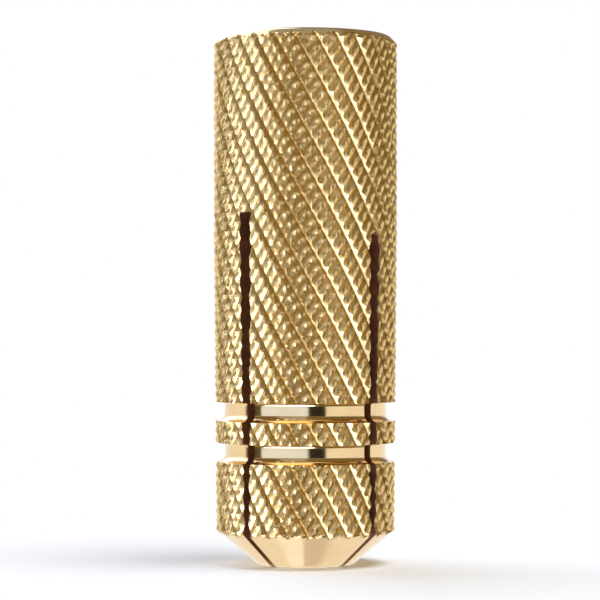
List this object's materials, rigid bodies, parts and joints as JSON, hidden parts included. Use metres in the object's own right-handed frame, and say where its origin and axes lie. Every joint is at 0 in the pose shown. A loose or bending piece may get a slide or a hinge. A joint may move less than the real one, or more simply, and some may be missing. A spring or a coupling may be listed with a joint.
{
  "type": "slotted expansion threaded insert",
  "caption": "Knurled brass bush with an internal thread, two turned grooves and slit, tapered fingers that a bolt spreads in a drilled hole.",
  "frame": {"origin": "centre of the tip face, on the insert's axis", "axes": "+Z along the axis from the slit tip to the mouth of the thread; the saw cuts lie on the diagonals between X and Y"},
  "size_m": [0.0098, 0.0098, 0.028],
  "materials": {
    "brass": "bright turned and knurled brass"
  },
  "bodies": {
    "root": {"insert_body": "brass"}
  },
  "joints": []
}
